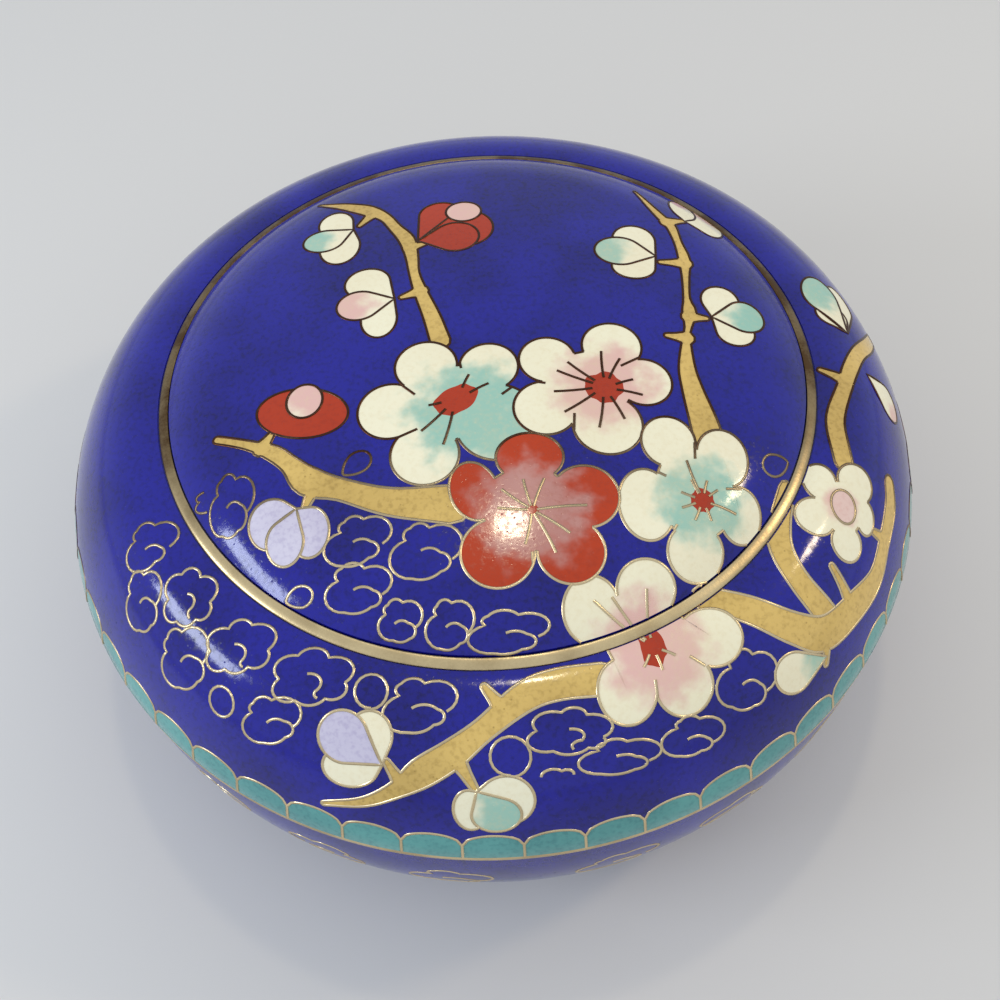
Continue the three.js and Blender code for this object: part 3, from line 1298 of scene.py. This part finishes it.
BLOSSOMS = (
    Blossom(Enamel.CREAM_TURQUOISE,
            (Oval(-6.2, -4.0, 3.3), Oval(0.4, -4.6, 3.1), Oval(-10.0, -9.4, 3.4),
             Oval(-6.5, -15.0, 3.5), Oval(0.9, -11.6, 4.3, 4.6)),
            Oval(-3.1, -8.6, 2.1, 1.6, 20), 7.2,
            ((-1.7, -5.5), (0.3, -6.8), (-6.0, -9.1), (-6.8, -12.2), (-4.6, -14)),
            (((-9, -6), (-7.4, -7.6)), ((-9.6, -12.9), (-7.2, -11.9)),
             ((-2.8, -2.6), (-2.5, -4.6)), ((3.0, -7.2), (1.6, -8.3))),
            lean=(1.7, -1.6)),
    Blossom(Enamel.CREAM_PINK,
            (Oval(6.6, -4.0, 3.0), Oval(13.6, -2.3, 3.2), Oval(16.5, -7.1, 3.0),
             Oval(12.2, -12.4, 3.6), Oval(6.0, -10.2, 3.3)),
            Oval(12.3, -7.8, 1.7), 5.8,
            ((8.7, -4.4), (7.5, -5.5), (12.4, -3), (14.3, -4), (15.4, -6.8), (16.2, -8.8),
             (14, -11.8), (11.3, -12.8), (7.9, -10.8), (7, -8.2)),
            (((16.3, -3.9), (14.3, -5)), ((3.8, -6.6), (6.2, -7.1)),
             ((8.7, -13), (8.9, -11.0)))),
    Blossom(Enamel.CREAM_TURQUOISE,
            (Oval(18.2, -14.5, 2.8, 3.0), Oval(23.6, -16.3, 2.7, 3.3),
             Oval(24.9, -22.5, 2.5, 3.0), Oval(19.8, -26.6, 3.0), Oval(15.2, -21.6, 2.8, 3.9)),
            Oval(20.9, -21.2, 1.1), 5.2,
            ((22.6, -20.0), (21.6, -19.0), (20.0, -18.9), (18.8, -20.3), (18.7, -22.0),
             (19.9, -23.3), (21.6, -23.3), (24.4, -22.4), (19.8, -16.7)),
            (((20.9, -14.6), (20.7, -16.5)), ((25.2, -19.7), (23.5, -19.8)),
             ((15.9, -17.6), (17.5, -18.5)), ((17.0, -25.2), (18.0, -23.8)))),
    Blossom(Enamel.CREAM_PINK,
            (Oval(9.0, -32.2, 2.8, 3.3), Oval(14.5, -30.3, 3.0), Oval(20.8, -35.1, 3.2, 2.9),
             Oval(17.7, -39.7, 3.0), Oval(12.0, -40.2, 2.9, 3.2)),
            Oval(14.9, -36.0, 1.2, 1.8), 6.0,
            ((13.8, -38), (15.6, -38.3), (17, -36.9), (9.2, -31.3), (11.0, -31.0),
             (14.5, -30.2)),
            (((15.0, -41.6), (14.8, -39.2)), ((19.9, -37.9), (18.4, -37.0)))),
    Blossom(Enamel.CREAM_PINK,
            (Oval(35.0, -17.9, 1.8, 2.3), Oval(39.3, -17.6, 2.3), Oval(33.7, -22.0, 2.2),
             Oval(37.2, -24.6, 2.1, 2.0), Oval(40.1, -21.3, 1.5, 2.0)),
            Oval(37.2, -20.6, 1.5, 1.9), 2.4, (), (), Enamel.PALE_PINK),
    Blossom(Enamel.RED_MAUVE,
            (Oval(4.0, -16.0, 3.4, 2.8), Oval(-1.7, -19.5, 2.4, 3.3, 15), Oval(0.3, -26.2, 3.6),
             Oval(7.4, -26.4, 3.3), Oval(9.2, -20.6, 3.4)),
            Oval(3.9, -21.9, 0.6), 6.2,
            ((3.0, -25.5), (5.9, -26.5), (7.4, -24.5), (9.3, -21.6), (1, -19.5), (3.2, -18.5),
             (0.5, -21.5), (5.3, -18.5)), (((3.7, -29.2), (3.6, -26.3)),)),
)

CLOUDS = (
    Cloud(-26.6, -18, 4.5, 6.5), Cloud(-13.3, -23.8, 5.8, 5.0), Cloud(-6.6, -25.5, 6.0, 5.6),
    Cloud(-13.4, -28.7, 5.6, 4.6), Cloud(-9.5, -32.3, 3.7, 3.8), Cloud(-4.6, -33, 4.0, 4.5),
    Cloud(1, -34, 6.8, 3.9), Cloud(-30.6, -17, 2.2, 5.0, Curl.ARC, 90),
    Cloud(-19.5, -28.8, 3.4, 2.6, Curl.DROP, 10), Cloud(-13.4, -15.2, 3.6, 3.0, Curl.DROP, 40),
    Cloud(29.6, -16.5, 3.6, 3.0, Curl.DROP, 205),
    Cloud(-36.5, -20.7, 5.5, 5.0), Cloud(-37.8, -26.5, 5, 6), Cloud(-33, -33.3, 6, 6),
    Cloud(-31.5, -27.3, 5.5, 5.7, Curl.HOOKED), Cloud(-26, -33.2, 6.4, 5, Curl.HOOKED),
    Cloud(-28.9, -38.3, 3.2, 3.2, Curl.RING), Cloud(-23.3, -40.7, 6, 4.5),
    Cloud(-18.3, -37, 7, 5, Curl.HOOKED), Cloud(-12.7, -38.9, 3.4, 3.4, Curl.RING),
    Cloud(-8, -40.6, 6.3, 4.7), Cloud(6.6, -43.8, 7, 4, Curl.HOOKED),
    Cloud(11.3, -46.4, 7.2, 3.5), Cloud(19, -44.8, 6, 4), Cloud(24.6, -39.4, 5.8, 5.6),
    Cloud(0.5, -45.8, 4, 4, Curl.RING), Cloud(5.0, -47.6, 3.2, 2.0, Curl.ARC),
)


def draw_lid() -> Drawing:
    """The lid's pattern: plum branches in flower over cloud scrolls."""
    lid = LidSection()
    surface = Surface(lid.outside(), 1.0)
    groove = tuple(surface.reach(lid.ring_radius + side * lid.groove_half) for side in (-1, 1))
    drawing = Drawing(surface, [groove])
    luck = random.Random(7)
    reach = surface.length
    for cloud in CLOUDS:
        cloud.draw(drawing, luck)
    Scallops(52, edge=reach + 1.0, cusp=reach - 2.0, top=reach - 3.5, start=-92.0).draw(drawing)
    for motif in (*BRANCHES, *BUDS, *BLOSSOMS):
        motif.draw(drawing)
    return drawing


def draw_bowl() -> Drawing:
    """The bowl's plainer pattern: three rows of clouds over scallops round the foot."""
    drawing = Drawing(Surface(BowlSection().outside(), -1.0))
    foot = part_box("foot_ring")[1].x / MM
    luck = random.Random(11)
    tilt, drift = 14, 0.12
    # Back from the mouth, number of clouds, and their width and height.
    rows = ((7.0, 21, 7.6, 5.4), (16.0, 19, 7.2, 5.4), (25.5, 17, 6.8, 5.0))
    for back, count, width, height in rows:
        flat = drawing.surface.length - back
        radius = float(drawing.surface.section_at(np.array([flat]))[0][0, 0])
        for i in range(count):
            kind = luck.choice((Curl.SCROLL, Curl.SCROLL, Curl.HOOKED))
            cloud = Cloud(0, 0, width, height, kind, luck.uniform(-tilt, tilt), i % 3 == 0)
            around = (i + luck.uniform(-drift, drift)) / count * TURN + back
            for path in cloud.paths(luck):
                drawing.line(polar(flat + path[:, 1], around + path[:, 0] / radius), behind=True)
    under_ring = Oval(0, 0, foot - 1.4).outline(drawing.border_step)
    drawing.lay(Cell(Enamel.COUNTER, [under_ring]), edged=False)
    Scallops(40, edge=foot + 0.2, cusp=foot + 2.2, top=foot + 4.0).draw(drawing)
    return drawing


# ---------------------------------------------------------------- cloisons


@dataclass
class Cloisons:
    """Gilt wires along the edges of the cells, standing a hair above the glass."""

    name: str
    drawing: Drawing
    width: float = 0.27
    proud: float = 0.04
    sunk: float = 0.12

    def build(self, gilt: bpy.types.Material) -> None:
        """Sweep every wire and hand over the piece."""
        guide = self.guide()
        modifier = guide.modifiers.new("sweep", "NODES")
        modifier.node_group = tree = self.tree()
        sizes = {
            "Width": self.width * MM,
            "Height": (self.proud + self.sunk) * MM,
            "Lift": (self.proud - self.sunk) / 2 * MM,
            "Gilt": gilt,
        }
        for item in tree.interface.items_tree:
            if item.name in sizes:
                modifier[item.identifier] = sizes[item.name]
        evaluated = guide.evaluated_get(bpy.context.evaluated_depsgraph_get())
        mesh = bpy.data.meshes.new_from_object(evaluated)
        bpy.data.objects.remove(guide)
        mesh.name = self.name
        finish_piece(add_object(self.name, mesh), [], "gilt_brass")

    def guide(self) -> bpy.types.Object:
        """The wires' paths as loose edges, with the shell's normal at each vertex."""
        places, normals, edges = [], [], []
        for path, closed in self.drawing.stretches():
            base = sum(map(len, places))
            place, normal = self.drawing.surface.lift(path)
            places.append(place)
            normals.append(normal)
            last = len(path) if closed else len(path) - 1
            edges += [(base + i, base + (i + 1) % len(path)) for i in range(last)]
        mesh = bpy.data.meshes.new(self.name + "_guide")
        mesh.from_pydata((np.concatenate(places) * MM).tolist(), edges, [])
        outward = mesh.attributes.new("outward", "FLOAT_VECTOR", "POINT")
        outward.data.foreach_set("vector", np.concatenate(normals).ravel().astype(np.float32))
        return add_object(self.name + "_guide", mesh)

    def tree(self) -> bpy.types.NodeTree:
        """Node tree that sweeps a flat strip, upright on the shell, along every edge."""
        tree = bpy.data.node_groups.new("sweep_cloisons", "GeometryNodeTree")
        sockets = tree.interface
        sockets.new_socket("Geometry", in_out="INPUT", socket_type="NodeSocketGeometry")
        for name in ("Width", "Height", "Lift"):
            sockets.new_socket(name, in_out="INPUT", socket_type="NodeSocketFloat")
        sockets.new_socket("Gilt", in_out="INPUT", socket_type="NodeSocketMaterial")
        sockets.new_socket("Geometry", in_out="OUTPUT", socket_type="NodeSocketGeometry")

        def add(kind: str, settings: dict[str, str], **inputs: Any) -> bpy.types.Node:
            made = tree.nodes.new(kind)
            for key, value in settings.items():
                setattr(made, key, value)
            for key, value in inputs.items():
                socket = made.inputs[key.replace("_", " ")]
                if isinstance(value, bpy.types.NodeSocket):
                    tree.links.new(value, socket)
                else:
                    socket.default_value = value
            return made

        given = add("NodeGroupInput", {}).outputs
        outward = add("GeometryNodeInputNamedAttribute", {"data_type": "FLOAT_VECTOR"},
                      Name="outward")
        curves = add("GeometryNodeMeshToCurve", {}, Mesh=given["Geometry"])
        upright = add("GeometryNodeSetCurveNormal", {"mode": "FREE"},
                      Curve=curves.outputs["Curve"], Normal=outward.outputs["Attribute"])
        strip = add("GeometryNodeCurvePrimitiveQuadrilateral", {},
                    Width=given["Height"], Height=given["Width"])
        offset = add("ShaderNodeCombineXYZ", {}, X=given["Lift"])
        lifted = add("GeometryNodeTransform", {},
                     Geometry=strip.outputs["Curve"], Translation=offset.outputs["Vector"])
        sweep = add("GeometryNodeCurveToMesh", {}, Fill_Caps=True,
                    Curve=upright.outputs["Curve"], Profile_Curve=lifted.outputs["Geometry"])
        realized = add("GeometryNodeRealizeInstances", {}, Geometry=sweep.outputs["Mesh"])
        dressed = add("GeometryNodeSetMaterial", {},
                      Geometry=realized.outputs["Geometry"], Material=given["Gilt"])
        add("NodeGroupOutput", {}, Geometry=dressed.outputs["Geometry"])
        return tree


# ---------------------------------------------------------------- enamel finish


@dataclass(frozen=True)
class EnamelFinish:
    """Polished glass enamel, a little mottled and pitted, with a second colour at its heart."""

    colour: Colour
    depth: Colour
    heart: Colour | None = None
    mottle: float = 0.35
    speck: float = 0.3
    roughness: float = 0.09
    relief: float = 0.007
    cloud_size: float = 2.2
    grain_size: float = 0.5
    patch_size: float = 11.0
    wave_size: float = 6.0
    pit_spacing: float = 0.8
    ragged: float = 1.1

    def make(self, name: str) -> bpy.types.Material:
        """Build the material."""
        recipe = Recipe(name)
        cloudy = recipe.noise(self.cloud_size, 3.0)
        wash = recipe.attribute("bleed") + self.ragged * (cloudy - 0.5)
        ground = recipe.mix(wash.step(0.55, 1.15), self.heart or self.colour, self.colour)
        grain = recipe.noise(self.grain_size, 2.0, 31.0).step(0.42, 0.75)
        patches = recipe.noise(self.patch_size, 5.0, 53.0).step(0.34, 0.68)
        toned = recipe.mix(self.mottle * (0.6 * grain + 0.7 * patches), ground, self.depth)
        pits = 1.0 - recipe.cells(self.pit_spacing).step(0.05, 0.17)
        waves = recipe.noise(self.wave_size, 1.0, 11.0)
        height = 0.7 * waves + 0.3 * grain - 0.8 * pits
        return recipe.dress(
            Base_Color=recipe.mix(self.speck * pits, toned, self.depth),
            Roughness=self.roughness + 0.1 * grain + 0.35 * pits,
            IOR=1.5,
            Specular_IOR_Level=0.42,
            Normal=recipe.bump(height, self.relief),
        )


CREAM_GLASS, CREAM_DEPTH = paint(255, 248, 216), paint(232, 212, 168)

ENAMELS: dict[Enamel, EnamelFinish] = {
    Enamel.COBALT: EnamelFinish(paint(28, 28, 150), paint(9, 6, 80), mottle=0.7),
    Enamel.OCHRE: EnamelFinish(paint(232, 196, 112), paint(150, 118, 52), mottle=0.5, speck=0.55),
    Enamel.CREAM_TURQUOISE: EnamelFinish(
        CREAM_GLASS, CREAM_DEPTH, paint(160, 206, 188), 0.3, 0.15
    ),
    Enamel.CREAM_PINK: EnamelFinish(CREAM_GLASS, CREAM_DEPTH, paint(238, 192, 182), 0.3, 0.15),
    Enamel.RED_MAUVE: EnamelFinish(paint(196, 62, 14), paint(146, 42, 14), paint(206, 152, 142)),
    Enamel.RED: EnamelFinish(paint(186, 56, 18), paint(134, 34, 16)),
    Enamel.TURQUOISE: EnamelFinish(paint(98, 170, 164), paint(56, 122, 126), mottle=0.6),
    Enamel.LAVENDER: EnamelFinish(paint(222, 216, 232), paint(178, 168, 200), mottle=0.6),
    Enamel.COUNTER: EnamelFinish(
        paint(104, 178, 176), paint(56, 128, 134), mottle=0.6, speck=0.5, roughness=0.22
    ),
    Enamel.PALE_PINK: EnamelFinish(paint(244, 212, 200), paint(214, 160, 150)),
}


# ---------------------------------------------------------------- studio


@dataclass(frozen=True)
class Lamp:
    """A soft light: its angle round the box, its angle up, its distance, size and glow."""

    name: str
    around: float
    up: float
    away: float
    width: float
    height: float
    glow: float
    tint: tuple[float, float, float]


@dataclass
class Studio:
    """Pale floor, soft lights and the camera."""

    ambient: float = 0.74
    sky: Colour = (0.86, 0.92, 1.0, 1.0)
    floor_colour: Colour = (0.74, 0.72, 0.69, 1.0)
    floor_half: float = 900.0
    aim_height: float = 40.0
    lamps: tuple[Lamp, ...] = (
        Lamp("window", -165.0, 24.0, 350.0, 150.0, 55.0, 14.0, (0.80, 0.88, 1.0)),
        Lamp("warm_lamp", 6.0, 42.0, 350.0, 34.0, 34.0, 40.0, (1.0, 0.80, 0.52)),
        Lamp("ceiling", 82.0, 77.0, 450.0, 26.0, 26.0, 70.0, (1.0, 0.88, 0.64)),
    )
    position: tuple[float, float, float] = (0.8, -79.9, 136.8)
    target: tuple[float, float, float] = (0.8, -7.7, 27.5)
    roll: float = -3.23
    lens: float = 39.6
    sensor: float = 36.0

    def build(self) -> None:
        """Set all of it up."""
        self.floor()
        self.camera()
        for lamp in self.lamps:
            self.hang(lamp)
        world = bpy.data.worlds.new("studio")
        world.use_nodes = True
        sky = world.node_tree.nodes["Background"]
        sky.inputs["Color"].default_value = self.sky
        sky.inputs["Strength"].default_value = self.ambient
        bpy.context.scene.view_settings.view_transform = "Standard"
        bpy.context.scene.world = world

    def floor(self) -> None:
        """A plain pale floor under the foot."""
        half = self.floor_half
        corners = [(-half, -half, 0.0), (half, -half, 0.0), (half, half, 0.0), (-half, half, 0.0)]
        floor = mesh_object("floor", corners, [(0, 1, 2, 3)])
        pale = Recipe("pale_floor").dress(Base_Color=self.floor_colour, Roughness=0.7)
        floor.data.materials.append(pale)

    def camera(self) -> None:
        """The viewpoint: from above the front, turned a little in its own plane."""
        data = bpy.data.cameras.new("camera")
        data.lens = self.lens
        data.sensor_width = self.sensor
        camera = add_object("camera", data)
        position = Vector(self.position) * MM
        look = Vector(self.target) * MM - position
        aim = look.to_track_quat("-Z", "Y").to_matrix().to_4x4()
        roll = Matrix.Rotation(math.radians(self.roll), 4, "Z")
        camera.matrix_world = Matrix.Translation(position) @ aim @ roll
        bpy.context.scene.camera = camera

    def hang(self, lamp: Lamp) -> None:
        """Add a rectangular light that faces the box."""
        data = bpy.data.lights.new(lamp.name, "AREA")
        data.shape = "RECTANGLE"
        data.size, data.size_y = lamp.width * MM, lamp.height * MM
        data.energy = lamp.glow * math.pi * data.size * data.size_y
        data.color = lamp.tint
        light = add_object(lamp.name, data)
        level, rise = polar(1.0, math.radians(lamp.up))
        away = Vector((*polar(level, math.radians(lamp.around)), rise))
        light.location = (away * lamp.away + Vector((0.0, 0.0, self.aim_height))) * MM
        light.rotation_euler = (-away).to_track_quat("-Z", "Y").to_euler()


# ---------------------------------------------------------------- the box


def main() -> None:
    """Build every piece in order."""
    logging.basicConfig(level=logging.INFO, format="%(name)s %(message)s")
    BrassRings().build()
    enamels = [ENAMELS[enamel].make(f"{enamel.name.lower()}_enamel") for enamel in Enamel]
    wire = WIRE.make()
    for name, drawing in (("lid", draw_lid()), ("bowl", draw_bowl())):
        EnamelShell(name, drawing).build(enamels)
        Cloisons(f"{name}_cloisons", drawing).build(wire)
    Studio().build()


if __name__ == "__main__":
    main()
